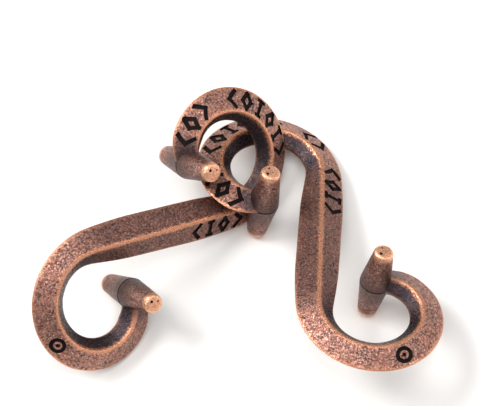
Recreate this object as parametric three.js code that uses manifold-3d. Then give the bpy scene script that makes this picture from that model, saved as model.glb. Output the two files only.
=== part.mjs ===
// A metal ring disentanglement puzzle: two identical cast hooks, linked ring through ring.
// Each hook is a straight bar whose two ends curl the same way round into open rings, so that
// it reads as an S, and each ring ends in a cross peg. Half a turn about the bar's middle
// carries a hook onto itself. The section is a kite: widest at the mould's parting plane, with
// one ridge above it and one below, which lean towards the middle of each ring.
//
// Millimetres, +Z up. The origin is at the bottom centre of the resting pair.

import * as THREE from 'three';
import { mergeVertices } from 'three/addons/utils/BufferGeometryUtils.js';
import Module from 'manifold-3d';

// ---- Driving dimensions ----

// The centreline of half a hook, from the middle of the bar to the peg.
const BAR_LENGTH = 38.4; // the straight part between the two bends
const BEND_EASE = 5.7; // the length over which the bar eases into its bend
const BEND_RADIUS = 12.75; // where the bar turns into the ring
const RING_RADIUS = 14.4; // half way round the ring
const CURL_RADIUS = 8.58; // where the ring closes in on its peg
const RING_ARC = 61.0; // from the bar's end, along the ring, to the peg's axis

// The kite section: its half width lies in the parting plane, its half height across it.
const BAR_HALF_WIDTH = 5.7; // at the middle of the bar
const RING_HALF_WIDTH = 4.46;
const BAR_HALF_HEIGHT = 3.15;
const RING_HALF_HEIGHT = 3.5;
const RIDGE_LEAN = 1.42; // how far the ridges sit towards the ring's middle
const LEAN_REACHED = 0.66; // and the share of the ring by which they lean that far
const TAPER_START = 8; // the distance from the bar's middle where it starts to narrow
const TAPER_END = 28; // and where the ring's own width is reached
const EDGE_FLAT = 0.5; // the width of the flat that breaks each cast edge

// The cross peg: two cones joined at their bases.
const PEG_LENGTH = 23.1;
const PEG_RADIUS = 3.82; // at the parting plane
const PEG_TIP_RADIUS = 2.4;
const PEG_TIP_ROUND = 0.6; // the rounded rim of each tip

// Fineness of the faceted solids.
const RING_STEP = 1.6; // between sections round a ring
const BAR_STEPS = 6; // sections along half of the bar
const WALK_STEP = 0.02; // the stride in which the centreline is worked out
const SAME_POINT = 1e-4; // points closer than this are one
const PEG_SIDES = 32;
const TIP_STEPS = 3; // facets across a tip's rounded rim

// Where each hook rests: the middle of its bar, and its turns about X, Y and Z in degrees.
const RIGHT_HOOK_PLACE = { middle: [19.19, -0.27, 11.44], turns: [-17.63, 13.64, -2.72] };
const LEFT_HOOK_PLACE = { middle: [-19.03, 3.42, 13.83], turns: [37.03, 34.54, -88.18] };
const HOOK_CLEARANCE = 0.25; // the gap kept all round the right hook
const NUDGE = 0.15; // the step by which the loose hook is moved clear
const NUDGE_TURN = 0.6; // and turned, in degrees
const MOST_NUDGES = 120;

const ANTIQUE_COPPER = new THREE.MeshStandardMaterial({
  color: 0x8a5a48,
  roughness: 0.45,
  metalness: 0.9,
});

const { lerp, smoothstep, clamp, degToRad } = THREE.MathUtils;
const wasm = await Module();
wasm.setup();

// ---- Centreline ----

// The curvature at a distance from the bar's middle: none along the bar, then the ring's.
function curvature(distance) {
  const past = distance - BAR_LENGTH / 2;
  const around = clamp(past / RING_ARC, 0, 1);
  const firstHalf = lerp(1 / BEND_RADIUS, 1 / RING_RADIUS, 2 * around);
  const secondHalf = lerp(1 / RING_RADIUS, 1 / CURL_RADIUS, 2 * around - 1);
  const ease = smoothstep(past, -BEND_EASE / 2, BEND_EASE / 2);
  return ease * (around < 0.5 ? firstHalf : secondHalf);
}

// Distances from the bar's middle at which half a hook has a section.
function sectionDistances() {
  const barEnd = (BAR_LENGTH - BEND_EASE) / 2;
  const ringLength = BAR_LENGTH / 2 + RING_ARC - barEnd;
  const ringSteps = Math.ceil(ringLength / RING_STEP);
  const bar = Array.from({ length: BAR_STEPS }, (_, i) => (barEnd * i) / BAR_STEPS);
  const ring = Array.from({ length: ringSteps + 1 }, (_, i) => barEnd + (ringLength * i) / ringSteps);
  return [...bar, ...ring];
}

// Walks the centreline of half a hook in small steps. The bar runs along +Y and the ring
// turns to the left. Each station holds its point, the unit vector towards the ring's middle
// and its distance from the bar's middle.
function walkHalf() {
  const point = new THREE.Vector2(0, 0);
  let heading = Math.PI / 2;
  let travelled = 0;
  return sectionDistances().map((distance) => {
    const strides = Math.ceil((distance - travelled) / WALK_STEP);
    const stride = strides > 0 ? (distance - travelled) / strides : 0;
    for (let i = 0; i < strides; i += 1) {
      const turn = curvature(travelled + stride / 2) * stride;
      heading += turn / 2;
      point.x += Math.cos(heading) * stride;
      point.y += Math.sin(heading) * stride;
      heading += turn / 2;
      travelled += stride;
    }
    const inward = new THREE.Vector2(-Math.sin(heading), Math.cos(heading));
    return { distance, point: point.clone(), inward };
  });
}

// ---- Section ----

// The kite's four corners at a distance from the bar's middle, as [inward, up] pairs: outer
// corner, upper ridge, inner corner, lower ridge. The ridges lean more the further round the
// ring they are, and the arm narrows to fit inside its peg. A kite can be grown all round.
function kiteCorners(distance, growth) {
  const barHalf = BAR_LENGTH / 2;
  const armEnd = barHalf + RING_ARC;
  const along = clamp((distance - barHalf) / RING_ARC, 0, 1);
  const tapered = smoothstep(distance, TAPER_START, TAPER_END);
  const intoPeg = smoothstep(distance, armEnd - 2 * PEG_RADIUS, armEnd);
  const openWidth = lerp(BAR_HALF_WIDTH, RING_HALF_WIDTH, tapered);
  const halfWidth = lerp(openWidth, PEG_RADIUS - EDGE_FLAT, intoPeg) + growth;
  const halfHeight = lerp(BAR_HALF_HEIGHT, RING_HALF_HEIGHT, along) + growth;
  const leanDistance = barHalf + RING_ARC * LEAN_REACHED;
  const lean = RIDGE_LEAN * Math.sin((Math.PI / 2) * Math.min(1, distance / leanDistance));
  return [
    [-halfWidth, 0],
    [lean, halfHeight],
    [halfWidth, 0],
    [lean, -halfHeight],
  ];
}

// Cuts each corner of the kite with a small flat.
function breakEdges(corners) {
  const count = corners.length;
  return corners.flatMap((corner, i) => {
    const here = new THREE.Vector2(...corner);
    const before = new THREE.Vector2(...corners[(i + count - 1) % count]);
    const after = new THREE.Vector2(...corners[(i + 1) % count]);
    const toBefore = before.sub(here).normalize();
    const toAfter = after.sub(here).normalize();
    const reach = EDGE_FLAT / toBefore.distanceTo(toAfter);
    return [
      here.clone().addScaledVector(toBefore, reach),
      here.clone().addScaledVector(toAfter, reach),
    ];
  });
}

// A station's section as points in space. On the half that is turned round, the section
// turns with it, so that both halves list their points in the same order round the bar.
function sectionPoints(station, turned, growth) {
  const side = turned ? -1 : 1;
  const outline = breakEdges(kiteCorners(station.distance, growth));
  const points = outline.map(
    ({ x: inward, y: up }) =>
      new THREE.Vector3(
        side * (station.point.x + inward * station.inward.x),
        side * (station.point.y + inward * station.inward.y),
        up,
      ),
  );
  // Seen from the same side, the turned half's outline runs from its inner corner.
  return turned ? mirrorOrder(points) : points;
}

// Reorders a turned outline: its inner corner takes the outer corner's place and the reverse.
function mirrorOrder(points) {
  const [outerLow, outerHigh, upperOut, upperIn, innerHigh, innerLow, lowerIn, lowerOut] = points;
  return [innerLow, innerHigh, upperIn, upperOut, outerHigh, outerLow, lowerOut, lowerIn];
}

// ---- Solids ----

// A closed mesh as a solid that can be joined.
function solidFrom(geometry) {
  const bare = new THREE.BufferGeometry();
  bare.setAttribute('position', geometry.getAttribute('position').clone());
  bare.setIndex(geometry.getIndex());
  const merged = mergeVertices(bare, SAME_POINT);
  const vertProperties = new Float32Array(merged.getAttribute('position').array);
  const triVerts = new Uint32Array(merged.getIndex().array);
  return new wasm.Manifold(new wasm.Mesh({ numProp: 3, vertProperties, triVerts }));
}

function geometryFrom(solid) {
  const mesh = solid.getMesh();
  const geometry = new THREE.BufferGeometry();
  geometry.setAttribute('position', new THREE.Float32BufferAttribute(mesh.vertProperties, 3));
  geometry.setIndex(new THREE.Uint32BufferAttribute(mesh.triVerts, 1));
  const facets = geometry.toNonIndexed();
  facets.computeVertexNormals();
  return facets;
}

// Skins a row of sections that have the same number of points, and closes both ends.
function loft(sections) {
  const sides = sections[0].length;
  const positions = sections.flat().flatMap((point) => point.toArray());
  const index = [];
  for (let row = 0; row < sections.length - 1; row += 1) {
    for (let side = 0; side < sides; side += 1) {
      const here = row * sides + side;
      const next = row * sides + ((side + 1) % sides);
      index.push(here, here + sides, next, next, here + sides, next + sides);
    }
  }
  const last = (sections.length - 1) * sides;
  for (let side = 1; side < sides - 1; side += 1) {
    index.push(0, side, side + 1);
    index.push(last, last + side + 1, last + side);
  }
  const geometry = new THREE.BufferGeometry();
  geometry.setAttribute('position', new THREE.Float32BufferAttribute(positions, 3));
  geometry.setIndex(index);
  return geometry;
}

// The whole bar with both of its rings, from one peg's axis to the other's.
function barGeometry(stations, growth) {
  const lower = stations.map((station) => sectionPoints(station, true, growth)).reverse();
  const upper = stations.slice(1).map((station) => sectionPoints(station, false, growth));
  return loft([...lower, ...upper]);
}

// A peg on the parting plane, with its axis along Z.
function pegGeometry(growth) {
  const top = PEG_LENGTH / 2 + growth;
  const rimCentre = new THREE.Vector2(PEG_TIP_RADIUS - PEG_TIP_ROUND + growth, top - PEG_TIP_ROUND);
  const rim = Array.from({ length: TIP_STEPS + 1 }, (_, i) => {
    const angle = (Math.PI / 2) * (i / TIP_STEPS);
    const outward = new THREE.Vector2(Math.cos(angle), Math.sin(angle));
    return outward.multiplyScalar(PEG_TIP_ROUND).add(rimCentre);
  });
  const base = new THREE.Vector2(PEG_RADIUS + growth, 0);
  const fromBase = [...rim, new THREE.Vector2(0, top)];
  const toBase = fromBase.map(({ x, y }) => new THREE.Vector2(x, -y)).reverse();
  const peg = new THREE.LatheGeometry([...toBase, base, ...fromBase], PEG_SIDES);
  return peg.rotateX(Math.PI / 2);
}

// One casting in its own frame: the bar's middle at the origin, its length along Y, and the
// parting plane in XY. Growth makes it larger all round, to test for clearance.
function hookSolid(growth = 0) {
  const stations = walkHalf();
  const { point } = stations[stations.length - 1];
  const peg = solidFrom(pegGeometry(growth));
  return solidFrom(barGeometry(stations, growth))
    .add(peg.translate([point.x, point.y, 0]))
    .add(peg.translate([-point.x, -point.y, 0]));
}

// ---- Assembly ----

function placeMatrix({ middle, turns }) {
  const turn = new THREE.Quaternion().setFromEuler(new THREE.Euler(...turns.map(degToRad)));
  return new THREE.Matrix4().compose(new THREE.Vector3(...middle), turn, new THREE.Vector3(1, 1, 1));
}

// The small moves that are tried to free the loose hook: a slide and a turn each way on each axis.
function nudges() {
  const axes = [new THREE.Vector3(1, 0, 0), new THREE.Vector3(0, 1, 0), new THREE.Vector3(0, 0, 1)];
  return axes.flatMap((axis) =>
    [-1, 1].flatMap((sign) => [
      { slide: axis.clone().multiplyScalar(sign * NUDGE), turn: new THREE.Quaternion() },
      {
        slide: new THREE.Vector3(),
        turn: new THREE.Quaternion().setFromAxisAngle(axis, sign * degToRad(NUDGE_TURN)),
      },
    ]),
  );
}

// Moves the loose hook, a nudge at a time, until it is clear of the fixed one. At the sizes
// above it is clear where it lies.
function nudgeClear(start, overlapAt) {
  const place = start.clone();
  let overlap = overlapAt(place);
  let improving = true;
  for (let tries = 0; overlap > 0 && improving && tries < MOST_NUDGES; tries += 1) {
    improving = false;
    const position = new THREE.Vector3();
    const rotation = new THREE.Quaternion();
    const scale = new THREE.Vector3();
    place.decompose(position, rotation, scale);
    for (const { slide, turn } of nudges()) {
      const tried = new THREE.Matrix4().compose(
        position.clone().add(slide),
        turn.clone().multiply(rotation),
        scale,
      );
      const left = overlapAt(tried);
      if (left < overlap) {
        improving = true;
        overlap = left;
        place.copy(tried);
      }
    }
  }
  return place;
}

const hook = hookSolid();
const hookGeometry = geometryFrom(hook);
const rightPlace = placeMatrix(RIGHT_HOOK_PLACE);
const keptClear = hookSolid(HOOK_CLEARANCE).transform(rightPlace.toArray());
const leftPlace = nudgeClear(placeMatrix(LEFT_HOOK_PLACE), (place) =>
  keptClear.intersect(hook.transform(place.toArray())).volume(),
);

const puzzle = new THREE.Group();
for (const [name, place] of [['right_hook', rightPlace], ['left_hook', leftPlace]]) {
  const mesh = new THREE.Mesh(hookGeometry, ANTIQUE_COPPER.clone());
  mesh.name = name;
  mesh.applyMatrix4(place);
  puzzle.add(mesh);
}

// The origin goes to the bottom centre of the pair.
const bounds = new THREE.Box3().setFromObject(puzzle, true);
const centre = bounds.getCenter(new THREE.Vector3());
puzzle.position.set(-centre.x, -centre.y, -bounds.min.z);

export default puzzle;
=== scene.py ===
"""A take-apart puzzle: two identical cast hooks, linked ring through ring, in antique copper.

Each hook is modelled straight, engraved while it is straight, bent along its centreline and
joined to its two cross pegs. Then it is laid where the frame has it. Metres, +Z up.
"""

import math
import random

import bpy
import numpy as np
from mathutils import Matrix, Quaternion, Vector


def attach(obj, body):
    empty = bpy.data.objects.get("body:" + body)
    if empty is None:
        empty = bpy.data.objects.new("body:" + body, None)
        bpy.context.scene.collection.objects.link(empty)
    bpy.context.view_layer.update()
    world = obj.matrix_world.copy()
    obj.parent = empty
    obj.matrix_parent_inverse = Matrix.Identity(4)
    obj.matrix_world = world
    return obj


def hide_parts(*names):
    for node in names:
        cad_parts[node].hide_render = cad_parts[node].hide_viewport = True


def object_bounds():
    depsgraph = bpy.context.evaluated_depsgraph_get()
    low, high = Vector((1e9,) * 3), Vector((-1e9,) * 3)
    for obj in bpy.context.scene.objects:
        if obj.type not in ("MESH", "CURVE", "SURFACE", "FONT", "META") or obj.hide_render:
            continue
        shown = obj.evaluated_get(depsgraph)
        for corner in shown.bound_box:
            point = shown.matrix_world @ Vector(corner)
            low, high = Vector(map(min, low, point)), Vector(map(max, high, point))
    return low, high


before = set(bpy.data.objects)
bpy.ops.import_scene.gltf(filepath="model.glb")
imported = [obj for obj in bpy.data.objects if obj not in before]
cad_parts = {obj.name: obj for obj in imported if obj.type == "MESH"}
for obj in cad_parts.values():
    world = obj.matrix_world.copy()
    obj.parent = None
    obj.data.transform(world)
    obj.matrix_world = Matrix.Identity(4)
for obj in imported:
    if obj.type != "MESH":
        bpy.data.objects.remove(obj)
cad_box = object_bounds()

MM = 0.001

# ---- Driving sizes of one casting ----

BAR_LENGTH = 38.4 * MM  # the straight part between the two bends
BEND_EASE = 5.7 * MM  # the length over which the bar eases into its bend
BEND_RADIUS = 12.75 * MM  # where the bar turns into the ring
RING_RADIUS = 14.4 * MM  # half way round the ring
CURL_RADIUS = 8.58 * MM  # where the ring closes in on its peg
RING_ARC = 61.0 * MM  # from the bar's end, along the ring, to the peg's axis
HALF_LENGTH = BAR_LENGTH / 2 + RING_ARC

BAR_HALF_WIDTH = 5.7 * MM  # at the middle of the bar, in the parting plane
RING_HALF_WIDTH = 4.46 * MM
BAR_HALF_HEIGHT = 3.15 * MM  # across the parting plane
RING_HALF_HEIGHT = 3.5 * MM
RIDGE_LEAN = 1.42 * MM  # how far the ridges sit towards the ring's middle
LEAN_REACHED = 0.66  # and the share of the ring by which they lean that far
TAPER_START = 8.0 * MM  # the distance from the bar's middle where it starts to narrow
TAPER_END = 28.0 * MM  # and where the ring's own width is reached
EDGE_ROUND = 0.7 * MM  # how far each cast edge is rounded back

PEG_LENGTH = 23.1 * MM
PEG_RADIUS = 3.82 * MM  # at the parting plane
PEG_TIP_RADIUS = 2.4 * MM
PEG_TIP_ROUND = 0.85 * MM
PARTING_GROOVE = 0.16 * MM  # the line that the mould leaves round each peg
ARM_INSET = 0.5 * MM  # how much slimmer than its peg an arm is where it ends

# Where each hook rests: the middle of its bar, and its turns about X, Y and Z.
PLACES = {
    "right_hook": ((19.19, -0.27, 11.44), (-17.63, 13.64, -2.72)),
    "left_hook": ((-19.03, 3.42, 13.83), (37.03, 34.54, -88.18)),
}


def smooth_share(value, low, high):
    share = min(1.0, max(0.0, (value - low) / (high - low)))
    return share * share * (3 - 2 * share)


def mix(low, high, share):
    return low + (high - low) * share


# ---- The section and the centreline ----

PEG_STEP = 1.0 * MM  # the steps in which the centreline is walked to find the pegs,
PATH_STEP = 0.5 * MM  # to bend the bar
FINISH_STEP = 0.25 * MM  # and to lay out the finish


def half_width(distance):
    """Half the section's width at a distance from the bar's middle."""
    away = abs(distance)
    open_width = mix(BAR_HALF_WIDTH, RING_HALF_WIDTH, smooth_share(away, TAPER_START, TAPER_END))
    into_peg = smooth_share(away, HALF_LENGTH - 2 * PEG_RADIUS, HALF_LENGTH)
    return mix(open_width, PEG_RADIUS - ARM_INSET, into_peg)


def half_height(distance):
    around = min(1.0, max(0.0, (abs(distance) - BAR_LENGTH / 2) / RING_ARC))
    return mix(BAR_HALF_HEIGHT, RING_HALF_HEIGHT, around)


def ridge_lean(distance):
    """How far the ridges sit to the left of the centreline. The lower half leans to the right."""
    reached = BAR_LENGTH / 2 + LEAN_REACHED * RING_ARC
    share = min(1.0, abs(distance) / reached)
    return math.copysign(RIDGE_LEAN * math.sin(math.pi / 2 * share), distance)


def curvature(distance):
    past = abs(distance) - BAR_LENGTH / 2
    around = min(1.0, max(0.0, past / RING_ARC))
    if around < 0.5:
        bend = mix(1 / BEND_RADIUS, 1 / RING_RADIUS, 2 * around)
    else:
        bend = mix(1 / RING_RADIUS, 1 / CURL_RADIUS, 2 * around - 1)
    return math.copysign(smooth_share(past, -BEND_EASE / 2, BEND_EASE / 2) * bend, distance)


def centreline(step):
    """Distance, point and leftward direction along the whole hook, from peg to peg. The bar
    runs along +Y through the origin; the upper ring turns left, and so does the lower one as
    it is walked from the middle."""
    count = round(HALF_LENGTH / step)
    stride = HALF_LENGTH / count
    point, heading = Vector((0, 0)), math.pi / 2
    upper = [(0.0, point.copy(), heading)]
    strides_each = 10
    for i in range(count):
        for j in range(strides_each):
            small = stride / strides_each
            turn = curvature((i + (j + 0.5) / strides_each) * stride) * small
            heading += turn / 2
            point += Vector((math.cos(heading), math.sin(heading))) * small
            heading += turn / 2
        upper.append(((i + 1) * stride, point.copy(), heading))
    lower = [(-distance, -place, way) for distance, place, way in reversed(upper[1:])]
    return [
        (distance, place, Vector((-math.sin(way), math.cos(way))))
        for distance, place, way in lower + upper
    ]


PEG_AXIS = centreline(PEG_STEP)[-1][1]  # where the upper ring's peg stands

# ---- Modelling helpers ----


def work_on(piece):
    bpy.ops.object.select_all(action="DESELECT")
    piece.select_set(True)
    bpy.context.view_layer.objects.active = piece


def start_modelling():
    """Clears the selection, so that the next primitive is the only thing worked on."""
    if bpy.context.view_layer.objects.active:
        bpy.context.view_layer.objects.active.select_set(False)
    bpy.ops.object.select_all(action="DESELECT")


def added(name):
    """The primitive that was just added, with its place and turn in its mesh."""
    piece = bpy.context.active_object
    piece.name = piece.data.name = name
    bpy.ops.object.transform_apply(location=True, rotation=True, scale=True)
    return piece


def pick(piece, kind, chosen):
    """In edit mode, selects the vertices, edges or faces for which chosen(element) holds."""
    bpy.ops.mesh.select_all(action="DESELECT")
    bpy.ops.mesh.select_mode(type=kind)
    bpy.ops.object.mode_set(mode="OBJECT")
    mesh = piece.data
    elements = {"VERT": mesh.vertices, "EDGE": mesh.edges, "FACE": mesh.polygons}[kind]
    for element in elements:
        element.select = bool(chosen(element))
    bpy.ops.object.mode_set(mode="EDIT")


def apply_modifier(piece, kind, **settings):
    work_on(piece)
    modifier = piece.modifiers.new(kind.lower(), kind)
    for name, value in settings.items():
        setattr(modifier, name, value)
    bpy.ops.object.modifier_apply(modifier=modifier.name)


def combine(piece, tool, operation, crossing=False):
    """Joins tool to piece, or cuts it out, and removes it."""
    apply_modifier(
        piece,
        "BOOLEAN",
        operation=operation,
        object=tool,
        solver="EXACT",
        use_self=crossing,
        material_mode="TRANSFER",
    )
    bpy.data.objects.remove(tool)


def coat(pieces, finish):
    for piece in pieces:
        piece.data.materials.clear()
        piece.data.materials.append(finish)
    return pieces


def join_all(pieces, name):
    work_on(pieces[0])
    for piece in pieces:
        piece.select_set(True)
    bpy.ops.object.join()
    pieces[0].name = pieces[0].data.name = name
    return pieces[0]


def uneven(piece, name, size, depth):
    """The slight waviness that a cast surface has. It only goes inward."""
    ripple = bpy.data.textures.new(name, "CLOUDS")
    ripple.noise_scale = size
    ripple.noise_depth = 2
    apply_modifier(piece, "DISPLACE", texture=ripple, strength=depth, mid_level=1.0)
    bpy.data.textures.remove(ripple)


# ---- The straight bar ----

ROW_STEP = 1.0 * MM  # between rows round a ring
BAR_ROW_STEP = 2.4 * MM  # and along the bar
STRIPS = 4  # strips across each of the four faces
EDGE_SEGMENTS = 5  # facets across each rounded edge
RIPPLE_SIZE = 5.0 * MM
RIPPLE_DEPTH = 0.10 * MM
SHORTEST_RUN = 0.2 * MM  # an edge that runs along the bar does so by more than this
SQUARE_ON = 0.01 * MM  # and one that lies across it by less than this
NARROWEST_FACE = 2 * MM  # the edges across a wide face are longer than this


def bar_rows():
    bar_half = BAR_LENGTH / 2 - BEND_EASE
    bar_count = round(bar_half / BAR_ROW_STEP)
    ring_count = round((HALF_LENGTH - bar_half) / ROW_STEP)
    bar = [bar_half * i / bar_count for i in range(bar_count)]
    ring = [mix(bar_half, HALF_LENGTH, i / ring_count) for i in range(ring_count + 1)]
    half = bar + ring
    return [-distance for distance in reversed(half[1:])] + half


def straight_bar(finish):
    """The bar and both of its arms, laid out straight along X with the parting plane flat."""
    rows = bar_rows()
    start_modelling()
    bpy.ops.mesh.primitive_circle_add(
        vertices=4, radius=1.0, fill_type="NGON", rotation=(0, math.pi / 2, 0)
    )
    bar = added("bar")
    first = rows[0]
    bpy.ops.object.mode_set(mode="EDIT")
    bpy.ops.mesh.select_all(action="SELECT")
    size = (1, half_width(first), half_height(first))
    bpy.ops.transform.resize(value=size, center_override=(0, 0, 0))
    bpy.ops.transform.translate(value=(first, 0, 0))
    for near, far in zip(rows, rows[1:]):
        bpy.ops.mesh.extrude_region_move(TRANSFORM_OT_translate={"value": (far - near, 0, 0)})
        wider = half_width(far) / half_width(near)
        taller = half_height(far) / half_height(near)
        bpy.ops.transform.resize(value=(1, wider, taller), center_override=(far, 0, 0))
    round_bar_edges(bar)
    split_bar_faces(bar)
    bpy.ops.mesh.select_all(action="SELECT")
    bpy.ops.mesh.normals_make_consistent(inside=False)
    bpy.ops.object.mode_set(mode="OBJECT")
    lean_ridges(bar)
    uneven(bar, "casting ripple", RIPPLE_SIZE, RIPPLE_DEPTH)
    coat([bar], finish)
    return bar


def round_bar_edges(bar):
    """Rounds the four long edges."""
    points = bar.data.vertices

    def runs_along(edge):
        start, end = (points[i].co for i in edge.vertices)
        return abs(end.x - start.x) > SHORTEST_RUN

    pick(bar, "EDGE", runs_along)
    bpy.ops.mesh.bevel(offset=EDGE_ROUND, segments=EDGE_SEGMENTS, affect="EDGES")


def split_bar_faces(bar):
    """Cuts the four wide faces into strips, so that they can ripple."""
    points = bar.data.vertices

    def runs_across(edge):
        start, end = (points[i].co for i in edge.vertices)
        return abs(end.x - start.x) < SQUARE_ON and (end - start).length > NARROWEST_FACE

    bpy.ops.object.mode_set(mode="OBJECT")
    bpy.ops.object.mode_set(mode="EDIT")
    pick(bar, "EDGE", runs_across)
    bpy.ops.mesh.subdivide(number_cuts=STRIPS - 1)


def lean_ridges(bar):
    """Moves the two ridges over towards each ring's middle, and the faces with them."""
    for point in bar.data.vertices:
        height = abs(point.co.z) / half_height(point.co.x)
        point.co.y += ridge_lean(point.co.x) * min(1.0, height)


# ---- Engraving ----

STROKE = 1.0 * MM  # the width of an engraved line
ORNAMENT_HEIGHT = 5.1 * MM
ORNAMENT_RISE = 0.12 * MM  # how far the row sits above the middle of its face
ENGRAVED_DEPTH = 0.42 * MM
ORNAMENT_START, ORNAMENT_END = 74.0 * MM, 9.0 * MM
GROUP_LENGTHS = (3, 6, 2, 4)  # figures in each group, from the peg to the bar
CHEVRON_REACH = 0.75 * MM  # half of each figure's length along the bar
LOZENGE_REACH = 1.1 * MM
TICK_REACH = 0.55 * MM  # at the ends of an upright
MARK_DISTANCE = -48.2 * MM
MARK_RADIUS = 1.55 * MM
DOT_RADIUS = 0.5 * MM


def face_place(distance, side):
    """A place on the upper face to the left (+1) or right (-1) of the straight bar, as a
    matrix: X runs along the bar, Y up the face to the ridge, and Z out of the face."""
    corner = Vector((distance, side * half_width(distance), 0))
    ridge = Vector((distance, ridge_lean(distance), half_height(distance)))
    up_face = (ridge - corner).normalized()
    outward = Vector((1, 0, 0)).cross(up_face).normalized()
    if outward.z < 0:
        outward.negate()
    along = up_face.cross(outward)
    turn = Matrix((along, up_face, outward)).transposed().to_4x4()
    return Matrix.Translation((corner + ridge) / 2) @ turn


def stroke_cutter(place, start, end):
    """A bar that cuts one engraved line, from start to end on the face."""
    start, end = Vector(start), Vector(end)
    run = end - start
    length = run.length + STROKE
    bpy.ops.mesh.primitive_cube_add(size=1.0)
    cutter = bpy.context.active_object
    middle = (start + end) / 2
    rise = 1.0 * MM  # how far the cutter stands out of the face
    turn = Matrix.Rotation(math.atan2(run.y, run.x), 4, "Z")
    size = Matrix.Diagonal((length, STROKE, ENGRAVED_DEPTH + rise, 1))
    lift = Matrix.Translation((middle.x, middle.y, (rise - ENGRAVED_DEPTH) / 2))
    cutter.matrix_world = place @ lift @ turn @ size
    return cutter


def chevron(place, way):
    tip = way * CHEVRON_REACH
    top = ORNAMENT_HEIGHT / 2 - STROKE / 2
    return [stroke_cutter(place, (-tip, top * up), (tip, 0)) for up in (-1, 1)]


def lozenge(place):
    top = ORNAMENT_HEIGHT / 2 - STROKE / 2
    corners = [(0, top), (LOZENGE_REACH, 0), (0, -top), (-LOZENGE_REACH, 0)]
    return [stroke_cutter(place, a, b) for a, b in zip(corners, corners[1:] + corners[:1])]


def upright(place):
    top = ORNAMENT_HEIGHT / 2 - STROKE / 2
    ticks = [stroke_cutter(place, (-TICK_REACH, y), (TICK_REACH, y)) for y in (-top, top)]
    return [stroke_cutter(place, (0, -top), (0, top)), *ticks]


def ornament_cutters():
    """Groups of figures: a chevron at each end, and uprights and lozenges between them."""
    slots = sum(GROUP_LENGTHS) + len(GROUP_LENGTHS) - 2
    pitch = (ORNAMENT_START - ORNAMENT_END) / slots
    cutters, slot = [], 0
    for length in GROUP_LENGTHS:
        for i in range(length):
            place = face_place(ORNAMENT_START - pitch * slot, -1)
            place = place @ Matrix.Translation((0, ORNAMENT_RISE, 0))
            if i in (0, length - 1):
                cutters += chevron(place, 1 if i == 0 else -1)
            elif i % 2:
                cutters += lozenge(place)
            else:
                cutters += upright(place)
            slot += 1
        slot += 1
    return cutters


def mark_cutters():
    """A plain ring with a dot in it, on the other upper face."""
    place = face_place(MARK_DISTANCE, 1)
    bpy.ops.mesh.primitive_torus_add(
        major_radius=MARK_RADIUS, minor_radius=STROKE / 2, major_segments=32, minor_segments=12
    )
    ring = bpy.context.active_object
    ring.matrix_world = place
    bpy.ops.mesh.primitive_uv_sphere_add(segments=16, ring_count=8, radius=DOT_RADIUS)
    dot = bpy.context.active_object
    dot.matrix_world = place
    return [ring, dot]


FLAW_SEED = 7  # starts the random draws for nicks and for pits
NICKS = 16
NICKED_SHARE = 0.9  # of the hook, from its middle
NICK_RADII = (0.35, 0.8)  # in mm, as are the next two
NICK_DEPTHS = (0.16, 0.30)
NICK_STRAY = 0.3  # how far a nick may be off the ridge


def nick_cutters():
    """Small round dents along the ridges, from being dropped and knocked together."""
    chance = random.Random(FLAW_SEED)
    cutters = []
    for _ in range(NICKS):
        distance = chance.uniform(-NICKED_SHARE, NICKED_SHARE) * HALF_LENGTH
        radius = chance.uniform(*NICK_RADII) * MM
        side = chance.choice((-1, 1))
        centre = Vector((distance, ridge_lean(distance), side * half_height(distance)))
        centre.z += side * (radius - chance.uniform(*NICK_DEPTHS) * MM)
        centre.y += chance.uniform(-NICK_STRAY, NICK_STRAY) * MM
        bpy.ops.mesh.primitive_ico_sphere_add(subdivisions=2, radius=radius, location=centre)
        cutters.append(bpy.context.active_object)
    return cutters


def engrave(bar, recess_finish, edge_finish):
    start_modelling()
    figures = coat(ornament_cutters() + mark_cutters(), recess_finish)
    combine(bar, join_all(figures, "engraving"), "DIFFERENCE", crossing=True)
    start_modelling()
    nicks = coat(nick_cutters(), edge_finish)
    combine(bar, join_all(nicks, "nicks"), "DIFFERENCE", crossing=True)


# ---- Bending ----


def bend(bar):
    """Bends the straight bar along the hook's centreline."""
    line = bpy.data.curves.new("centreline", "CURVE")
    line.dimensions = "3D"
    line.twist_mode = "Z_UP"
    stations = centreline(PATH_STEP)
    spline = line.splines.new("POLY")
    spline.points.add(len(stations) - 1)
    for point, (_, place, _) in zip(spline.points, stations):
        point.co = (place.x, place.y, 0, 1)
    path = bpy.data.objects.new("centreline", line)
    bpy.context.scene.collection.objects.link(path)
    bar.data.transform(Matrix.Translation((HALF_LENGTH, 0, 0)))
    apply_modifier(bar, "CURVE", object=path, deform_axis="POS_X")
    bpy.data.objects.remove(path)


# ---- The cross pegs ----

PEG_SIDES = 56
CONE_ROWS = 7
TIP_ANGLES = (90, 67, 45, 22, 0)  # in degrees round a tip's rim, from its flat to its cone
GROOVE_LIP = 0.02 * MM  # how far in the parting groove starts
GROOVE_FLOOR = 0.05 * MM  # half the width of its floor
TIP_PITS = 3
PIT_DISTANCES = (0.5, 1.3)  # in mm, from the middle of the tip
PIT_RADII = (0.22, 0.40)  # in mm
PIT_STRAY = 0.5  # in radians, off an even spacing


def peg_profile():
    """Height and radius up one peg, from its lower tip to its upper one."""
    top = PEG_LENGTH / 2
    rim = [
        (
            top - PEG_TIP_ROUND * (1 - math.sin(angle)),
            PEG_TIP_RADIUS - PEG_TIP_ROUND * (1 - math.cos(angle)),
        )
        for angle in map(math.radians, TIP_ANGLES)
    ]
    edge = (PARTING_GROOVE, PEG_RADIUS - GROOVE_LIP)
    low, high = rim[-1], edge
    cone = [
        (mix(low[0], high[0], i / CONE_ROWS), mix(low[1], high[1], i / CONE_ROWS))
        for i in range(1, CONE_ROWS)
    ]
    upper = [*rim, *cone, edge, (GROOVE_FLOOR, PEG_RADIUS - PARTING_GROOVE)]
    return [(-height, radius) for height, radius in upper] + upper[::-1]


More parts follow.
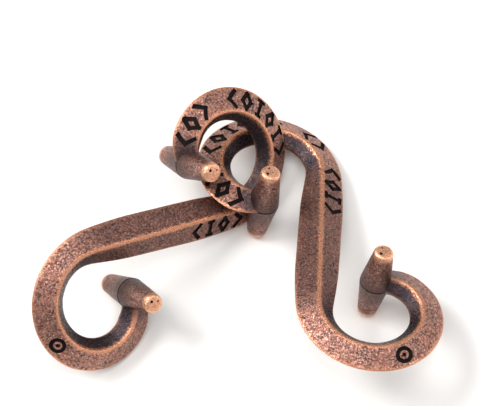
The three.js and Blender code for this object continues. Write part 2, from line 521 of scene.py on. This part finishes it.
def peg_at(x, y, finish, recess_finish):
    profile = peg_profile()
    start_modelling()
    bpy.ops.mesh.primitive_circle_add(
        vertices=PEG_SIDES, radius=profile[0][1], fill_type="NGON", location=(0, 0, profile[0][0])
    )
    peg = added("peg")
    bpy.ops.object.mode_set(mode="EDIT")
    bpy.ops.mesh.select_all(action="SELECT")
    for (low, narrow), (high, wide) in zip(profile, profile[1:]):
        bpy.ops.mesh.extrude_region_move(TRANSFORM_OT_translate={"value": (0, 0, high - low)})
        bpy.ops.transform.resize(
            value=(wide / narrow, wide / narrow, 1), center_override=(0, 0, high)
        )
    bpy.ops.mesh.select_all(action="SELECT")
    bpy.ops.mesh.normals_make_consistent(inside=False)
    bpy.ops.object.mode_set(mode="OBJECT")
    coat([peg], finish)
    pit_tips(peg, recess_finish)
    peg.data.transform(Matrix.Translation((x, y, 0)))
    return peg


def pit_tips(peg, recess_finish):
    """Small pits that the casting left in each flat tip."""
    chance = random.Random(FLAW_SEED)
    start_modelling()
    cutters = []
    for side in (-1, 1):
        for i in range(TIP_PITS):
            angle = 2 * math.pi * i / TIP_PITS + chance.uniform(-PIT_STRAY, PIT_STRAY)
            out = chance.uniform(*PIT_DISTANCES) * MM
            radius = chance.uniform(*PIT_RADII) * MM
            place = (out * math.cos(angle), out * math.sin(angle), side * PEG_LENGTH / 2)
            bpy.ops.mesh.primitive_ico_sphere_add(subdivisions=2, radius=radius, location=place)
            cutters.append(bpy.context.active_object)
    coat(cutters, recess_finish)
    combine(peg, join_all(cutters, "pits"), "DIFFERENCE")


# ---- What the finish follows ----

BATCH = 4000  # points measured at a time, to save memory


def along_and_across(points):
    """For points on a bent hook: distance along it, and offset to the left of the ridge line."""
    stations = centreline(FINISH_STEP)
    distances = np.array([station[0] for station in stations])
    places = np.array([station[1] for station in stations])
    lefts = np.array([station[2] for station in stations])
    leans = np.array([ridge_lean(d) for d in distances])
    away = ((points[:, None, :2] - places[None]) ** 2).sum(2)
    nearest = away.argmin(1)
    offset = ((points[:, :2] - places[nearest]) * lefts[nearest]).sum(1)
    return distances[nearest], offset - leans[nearest]


def record_finish(hook):
    """Stores, on the mesh, the places that the finish follows, in millimetres: distance along
    the hook, offset to the left of the ridge and height, and the distance to the nearest peg."""
    mesh = hook.data
    points = np.zeros(len(mesh.vertices) * 3)
    mesh.vertices.foreach_get("co", points)
    points = points.reshape(-1, 3)
    batches = np.array_split(points, max(1, len(points) // BATCH))
    parts = [along_and_across(batch) for batch in batches]
    distance, aside = (np.concatenate(values) for values in zip(*parts))
    axes = [np.array(PEG_AXIS), -np.array(PEG_AXIS)]
    from_peg = np.min([np.hypot(*(points[:, :2] - axis).T) for axis in axes], axis=0)
    place = np.stack([distance, aside, points[:, 2]], axis=1)
    write_attribute(mesh, "cast_place", "FLOAT_VECTOR", "vector", place / MM)
    write_attribute(mesh, "peg_distance", "FLOAT", "value", from_peg / MM)


def write_attribute(mesh, name, kind, field, values):
    attribute = mesh.attributes.new(name, kind, "POINT")
    attribute.data.foreach_set(field, np.asarray(values, np.float32).ravel())


WELD = 0.004 * MM  # points closer than this become one
SMOOTH_ANGLE = math.radians(28)  # faces that meet at less than this are shaded as one


def cast_hook(arm_finish, peg_finish, recess_finish):
    """One finished casting in its own frame: bar along Y, parting plane level."""
    bar = straight_bar(arm_finish)
    engrave(bar, recess_finish, arm_finish)
    bend(bar)
    for side in (-1, 1):
        peg = peg_at(side * PEG_AXIS.x, side * PEG_AXIS.y, peg_finish, recess_finish)
        combine(bar, peg, "UNION")
    work_on(bar)
    bpy.ops.object.mode_set(mode="EDIT")
    bpy.ops.mesh.select_all(action="SELECT")
    bpy.ops.mesh.remove_doubles(threshold=WELD)
    bpy.ops.mesh.normals_make_consistent(inside=False)
    bpy.ops.object.mode_set(mode="OBJECT")
    bpy.ops.object.shade_smooth_by_angle(angle=SMOOTH_ANGLE)
    record_finish(bar)
    return bar


def lay_hook(casting, node):
    """A copy of the casting, laid where the frame has that hook."""
    middle, turns = PLACES[node]
    about_x, about_y, about_z = (
        Matrix.Rotation(math.radians(turn), 4, axis) for turn, axis in zip(turns, "XYZ")
    )
    hook = casting.copy()
    hook.data = casting.data.copy()
    hook.name = hook.data.name = f"cast_{node}"
    bpy.context.scene.collection.objects.link(hook)
    hook.data.transform(Matrix.Translation(Vector(middle) * MM) @ about_x @ about_y @ about_z)
    return hook


# ---- Finish ----

# How many to the metre there are of each kind of mottling.
BLOTCH_SCALE = 380
GRAIN_SCALE = 1700
FLECK_SCALE = 2100
STREAK_SCALE = 190
GRAIN_RELIEF = 0.07 * MM

# Places, in millimetres, between which one finish passes into the next.
BAR_INTO_RING = (15, 24)  # along the hook, from its middle
OUTER_SIDE = (-2.0, 0.0)  # inward from the ridge
INNER_SIDE = (0.1, 0.9)
OFF_PARTING = (1.2, 2.0)  # above or below the parting plane
PEG_SHADE = (4.0, 9.0)  # out from a peg's axis
UNWORN_BY_PEG = (3.8, 7.0)
PEG_BASE = (1.0, 8.0)  # up or down a peg from the parting plane
GROOVE_DARK = (0.12, 0.30)
TIP_WORN = (9.4, 11.3)
RIDGE_WORN = 0.78  # how far the wear reaches to each side of a ridge
CORNER_WORN = 0.55  # and above and below a corner


def new_group(name, inputs, outputs):
    """A shader node group with named inputs, given as name: (kind, value), and outputs."""
    group = bpy.data.node_groups.new(name, "ShaderNodeTree")
    for label, (kind, value) in inputs.items():
        socket = group.interface.new_socket(label, in_out="INPUT", socket_type=kind)
        if value is not None:
            socket.default_value = value
    for label, kind in outputs.items():
        group.interface.new_socket(label, in_out="OUTPUT", socket_type=kind)
    enter = group.nodes.new("NodeGroupInput")
    leave = group.nodes.new("NodeGroupOutput")
    return group, enter, leave


def node(tree, kind, values=None, **settings):
    made = tree.nodes.new(kind)
    for name, value in settings.items():
        setattr(made, name, value)
    for key, value in (values or {}).items():
        made.inputs[key].default_value = value
    return made


def math_node(tree, operation, first, second=None, third=None):
    made = tree.nodes.new("ShaderNodeMath")
    made.operation = operation
    for socket, value in zip(made.inputs, (first, second, third)):
        if value is None:
            continue
        if isinstance(value, bpy.types.NodeSocket):
            tree.links.new(value, socket)
        else:
            socket.default_value = value
    return made.outputs[0]


def ramp(tree, value, low, high, start=0.0, end=1.0):
    """value taken from low..high to start..end, smoothly."""
    made = tree.nodes.new("ShaderNodeMapRange")
    made.interpolation_type = "SMOOTHSTEP"
    for label, amount in zip(("From Min", "From Max", "To Min", "To Max"), (low, high, start, end)):
        made.inputs[label].default_value = amount
    tree.links.new(value, made.inputs["Value"])
    return made.outputs["Result"]


def noise(tree, vector, scale, detail, roughness=0.55, distortion=0.0):
    made = node(
        tree,
        "ShaderNodeTexNoise",
        {"Scale": scale, "Detail": detail, "Roughness": roughness, "Distortion": distortion},
    )
    tree.links.new(vector, made.inputs["Vector"])
    return made.outputs["Fac"]


def blend_colours(tree, share, first, second, way="MIX"):
    made = tree.nodes.new("ShaderNodeMix")
    made.data_type = "RGBA"
    made.blend_type = way
    for socket, value in ((made.inputs[0], share), (made.inputs[6], first), (made.inputs[7], second)):
        if isinstance(value, bpy.types.NodeSocket):
            tree.links.new(value, socket)
        else:
            socket.default_value = value
    return made.outputs[2]


def speckle_group():
    """The fine mottled grain of a tumbled plating: blotches, grain and flecks, each 0 to 1."""
    group, enter, leave = new_group(
        "tumbled grain",
        {"Place": ("NodeSocketVector", None)},
        {"Blotches": "NodeSocketFloat", "Grain": "NodeSocketFloat", "Flecks": "NodeSocketFloat"},
    )
    place = enter.outputs["Place"]
    blotches = ramp(group, noise(group, place, BLOTCH_SCALE, 5, 0.68), 0.33, 0.67)
    grain = ramp(group, noise(group, place, GRAIN_SCALE, 4, 0.75), 0.38, 0.62)
    flecks = ramp(group, noise(group, place, FLECK_SCALE, 2, 0.6), 0.55, 0.68)
    group.links.new(blotches, leave.inputs["Blotches"])
    group.links.new(grain, leave.inputs["Grain"])
    group.links.new(flecks, leave.inputs["Flecks"])
    return group


def edge_wear_group():
    """How far an edge is worn bright: 1 on the edge, broken up by the grain."""
    group, enter, leave = new_group(
        "edge wear",
        {
            "Offset": ("NodeSocketFloat", 0.0),
            "Width": ("NodeSocketFloat", 0.6),
            "Grain": ("NodeSocketFloat", 0.5),
        },
        {"Worn": "NodeSocketFloat"},
    )
    off = math_node(group, "ABSOLUTE", enter.outputs["Offset"])
    broken = math_node(group, "MULTIPLY_ADD", enter.outputs["Grain"], 0.6, 0.66)
    reach = math_node(group, "MULTIPLY", enter.outputs["Width"], broken)
    share = math_node(group, "DIVIDE", off, reach)
    group.links.new(ramp(group, share, 0.10, 1.25, 1.0, 0.0), leave.inputs["Worn"])
    return group


def place_group(material, group, links):
    made = material.node_tree.nodes.new("ShaderNodeGroup")
    made.node_tree = group
    for label, value in links.items():
        if isinstance(value, bpy.types.NodeSocket):
            material.node_tree.links.new(value, made.inputs[label])
        else:
            made.inputs[label].default_value = value
    return made


COPPER_BROWN = (0.235, 0.080, 0.054, 1)
DARK_BROWN = (0.044, 0.025, 0.025, 1)
BRIGHT_COPPER = (0.80, 0.36, 0.205, 1)
PINK_COPPER = (0.58, 0.32, 0.25, 1)
PALE_COPPER = (0.84, 0.50, 0.39, 1)
TIP_COPPER = (0.93, 0.47, 0.285, 1)
BLACK_PATINA = (0.006, 0.004, 0.004, 1)
# A blue-black patina. Inside the rings it is also painted shade, standing in for the dark reflection
# of the ring's far side.
PATINA_AND_SHADE_BLUE = (0.046, 0.038, 0.046, 1)
BASE_PATINA = (0.085, 0.055, 0.052, 1)


def start_finish(name):
    """A material with its shader, and the places that the finish follows."""
    material = bpy.data.materials.new(name)
    material.use_nodes = True
    tree = material.node_tree
    tree.nodes.clear()
    shader = tree.nodes.new("ShaderNodeBsdfPrincipled")
    output = tree.nodes.new("ShaderNodeOutputMaterial")
    tree.links.new(shader.outputs["BSDF"], output.inputs["Surface"])
    place = tree.nodes.new("ShaderNodeTexCoord").outputs["Object"]
    cast = node(tree, "ShaderNodeAttribute", attribute_name="cast_place")
    split = tree.nodes.new("ShaderNodeSeparateXYZ")
    tree.links.new(cast.outputs["Vector"], split.inputs[0])
    return material, tree, shader, place, split.outputs


def mottled_copper(tree, grains, darker):
    """The plating's brown, mottled by its grain: darker is a share from 0 to 1."""
    body = blend_colours(tree, grains.outputs["Blotches"], DARK_BROWN, COPPER_BROWN)
    body = blend_colours(tree, scaled(tree, grains.outputs["Grain"], 0.60), body, PINK_COPPER)
    body = blend_colours(tree, scaled(tree, grains.outputs["Flecks"], 0.68), body, PALE_COPPER)
    return blend_colours(tree, darker, body, DARK_BROWN)


def scaled(tree, value, amount):
    return math_node(tree, "MULTIPLY", value, amount)


def finish_surface(tree, shader, grains, colour, smooth):
    """Links colour, roughness, metal and relief: smooth is a mask from 0 to 1."""
    link = tree.links.new
    link(colour, shader.inputs["Base Color"])
    rough = ramp(tree, smooth, 0.0, 1.0, 0.47, 0.33)
    rough = math_node(tree, "MULTIPLY_ADD", grains.outputs["Grain"], -0.12, rough)
    link(rough, shader.inputs["Roughness"])
    shader.inputs["Metallic"].default_value = 0.94
    blotches = scaled(tree, grains.outputs["Blotches"], 0.5)
    relief = math_node(tree, "MULTIPLY_ADD", grains.outputs["Grain"], 0.8, blotches)
    bump = node(tree, "ShaderNodeBump", {"Strength": 0.7, "Distance": GRAIN_RELIEF})
    link(relief, bump.inputs["Height"])
    link(bump.outputs["Normal"], shader.inputs["Normal"])


def arm_copper(speckle, wear):
    """Bar and rings: worn bright on the edges, dark inside the rings, where patina and painted shade
    are laid, and dark beside the pegs.
    """
    material, tree, shader, place, (along, aside, height) = start_finish("copper arm")
    inward = math_node(tree, "MULTIPLY", aside, math_node(tree, "SIGN", along))
    from_peg = node(tree, "ShaderNodeAttribute", attribute_name="peg_distance").outputs["Fac"]
    grains = place_group(material, speckle, {"Place": place})
    blotches, grain = grains.outputs["Blotches"], grains.outputs["Grain"]
    above = math_node(tree, "ABSOLUTE", height)
    ridge = place_group(material, wear, {"Offset": aside, "Width": RIDGE_WORN, "Grain": grain})
    corner = place_group(material, wear, {"Offset": height, "Width": CORNER_WORN, "Grain": grain})
    ridge_worn = math_node(tree, "MULTIPLY", ridge.outputs["Worn"], ramp(tree, above, *OFF_PARTING))
    in_ring = ramp(tree, math_node(tree, "ABSOLUTE", along), *BAR_INTO_RING)
    outer = math_node(tree, "MULTIPLY", ramp(tree, inward, *OUTER_SIDE, 1.0, 0.0), in_ring)
    exposed = math_node(tree, "MULTIPLY_ADD", outer, 0.55, 0.25)
    corner_worn = math_node(tree, "MULTIPLY", corner.outputs["Worn"], exposed)
    ridge_worn = scaled(tree, ridge_worn, 0.85)
    edges = math_node(tree, "MAXIMUM", ridge_worn, corner_worn)
    kept = ramp(tree, from_peg, *UNWORN_BY_PEG, 0.45, 1.0)
    edges = math_node(tree, "MULTIPLY", edges, kept)

    on_bar = scaled(tree, math_node(tree, "SUBTRACT", 1.0, in_ring), 0.5)
    body = mottled_copper(tree, grains, on_bar)
    near_peg = scaled(tree, ramp(tree, from_peg, *PEG_SHADE, 1.0, 0.0), 0.85)
    # Inside the rings: patina and painted shade. The inner faces are darkened as if they reflected the
    # ring's dark far side.
    inside = math_node(tree, "MULTIPLY", ramp(tree, inward, *INNER_SIDE), in_ring)
    inside = math_node(tree, "MULTIPLY", inside, ramp(tree, blotches, 0.0, 1.0, 0.97, 0.86))
    darkened = math_node(tree, "MAXIMUM", near_peg, inside)
    body = blend_colours(tree, darkened, body, PATINA_AND_SHADE_BLUE)
    body = blend_colours(tree, edges, body, BRIGHT_COPPER)
    finish_surface(tree, shader, grains, body, math_node(tree, "MAXIMUM", edges, inside))
    return material


def peg_copper(speckle):
    """Pegs: dark at the parting line and the base, browner outwards, bright on the tips."""
    material, tree, shader, place, (_, _, height) = start_finish("copper peg")
    grains = place_group(material, speckle, {"Place": place})
    above = math_node(tree, "ABSOLUTE", height)
    tip = ramp(tree, above, *TIP_WORN)
    base = scaled(tree, ramp(tree, above, *PEG_BASE, 1.0, 0.0), 0.80)
    groove = ramp(tree, above, *GROOVE_DARK, 1.0, 0.0)
    streaks = ramp(tree, noise(tree, place, STREAK_SCALE, 3, 0.6), 0.42, 0.62, 0.05, 0.55)
    body = mottled_copper(tree, grains, streaks)
    body = blend_colours(tree, base, body, BASE_PATINA)
    body = blend_colours(tree, scaled(tree, tip, 0.92), body, TIP_COPPER)
    body = blend_colours(tree, groove, body, BLACK_PATINA)
    finish_surface(tree, shader, grains, body, tip)
    return material


def recess_patina(speckle):
    """The near-black patina left in what is sunk."""
    material, tree, shader, place, _ = start_finish("dark recess")
    grains = place_group(material, speckle, {"Place": place})
    colour = blend_colours(tree, scaled(tree, grains.outputs["Grain"], 0.25), BLACK_PATINA, DARK_BROWN)
    tree.links.new(colour, shader.inputs["Base Color"])
    shader.inputs["Specular IOR Level"].default_value = 0.12
    rough = ramp(tree, grains.outputs["Blotches"], 0.0, 1.0, 0.62, 0.8)
    tree.links.new(rough, shader.inputs["Roughness"])
    shader.inputs["Metallic"].default_value = 0.2
    return material


# ---- Studio ----

CAMERA_PLACE = Vector((0.0687, -0.2905, 0.7665))
CAMERA_LOOK = Vector((-0.0815, 0.3688, -0.9259))
CAMERA_ROLL = math.radians(-13.42)
CAMERA_LENS = 243.04
LAMPS = (  # the name, place, size and watts of each
    ("overhead", (0.10, -0.05, 1.15), (0.9, 0.9), 7.5),
    ("window", (-0.62, 0.26, 0.80), (0.45, 0.45), 8.5),
    ("right fill", (1.0, 0.05, 0.40), (0.5, 0.5), 2.5),
)
ROOM_LIGHT = 0.42
ROOM_COLOUR = (0.95, 0.97, 1.0, 1)
PAPER_WHITE = (0.90, 0.882, 0.85, 1)
FLOOR_SIZE = 3.0
FLOOR_GAP = 0.02 * MM  # so that the floor doesn't cut into what stands on it


def make_camera():
    data = bpy.data.cameras.new("camera")
    data.lens = CAMERA_LENS
    data.sensor_width = 36
    data.clip_start, data.clip_end = 0.05, 10
    camera = bpy.data.objects.new("camera", data)
    camera.location = CAMERA_PLACE
    camera.rotation_mode = "QUATERNION"
    level = CAMERA_LOOK.to_track_quat("-Z", "Y")
    camera.rotation_quaternion = level @ Quaternion((0, 0, 1), CAMERA_ROLL)
    bpy.context.scene.collection.objects.link(camera)
    bpy.context.scene.camera = camera


def add_light(name, place, size, power):
    data = bpy.data.lights.new(name, "AREA")
    data.shape = "RECTANGLE"
    data.size, data.size_y = size
    data.energy = power
    lamp = bpy.data.objects.new(name, data)
    lamp.location = place
    lamp.rotation_euler = (-Vector(place)).to_track_quat("-Z", "Y").to_euler()
    bpy.context.scene.collection.objects.link(lamp)


def make_floor():
    start_modelling()
    bpy.ops.mesh.primitive_plane_add(size=FLOOR_SIZE)
    floor = added("floor")
    floor.data.transform(Matrix.Translation((0, 0, cad_box[0].z - FLOOR_GAP)))
    paper = bpy.data.materials.new("white paper")
    paper.use_nodes = True
    shader = paper.node_tree.nodes["Principled BSDF"]
    shader.inputs["Base Color"].default_value = PAPER_WHITE
    shader.inputs["Roughness"].default_value = 0.75
    floor.data.materials.append(paper)


def make_world():
    world = bpy.data.worlds.new("studio")
    world.use_nodes = True
    background = world.node_tree.nodes["Background"]
    background.inputs["Color"].default_value = ROOM_COLOUR
    background.inputs["Strength"].default_value = ROOM_LIGHT
    bpy.context.scene.world = world


def make_studio():
    make_camera()
    make_floor()
    make_world()
    for lamp in LAMPS:
        add_light(*lamp)
    bpy.context.scene.view_settings.view_transform = "Standard"


# ---- The puzzle ----

make_studio()
speckle = speckle_group()
casting = cast_hook(
    arm_copper(speckle, edge_wear_group()), peg_copper(speckle), recess_patina(speckle)
)
for hook_node in PLACES:
    hook = lay_hook(casting, hook_node)
    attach(hook, hook_node)
    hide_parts(hook_node)
bpy.data.objects.remove(casting)
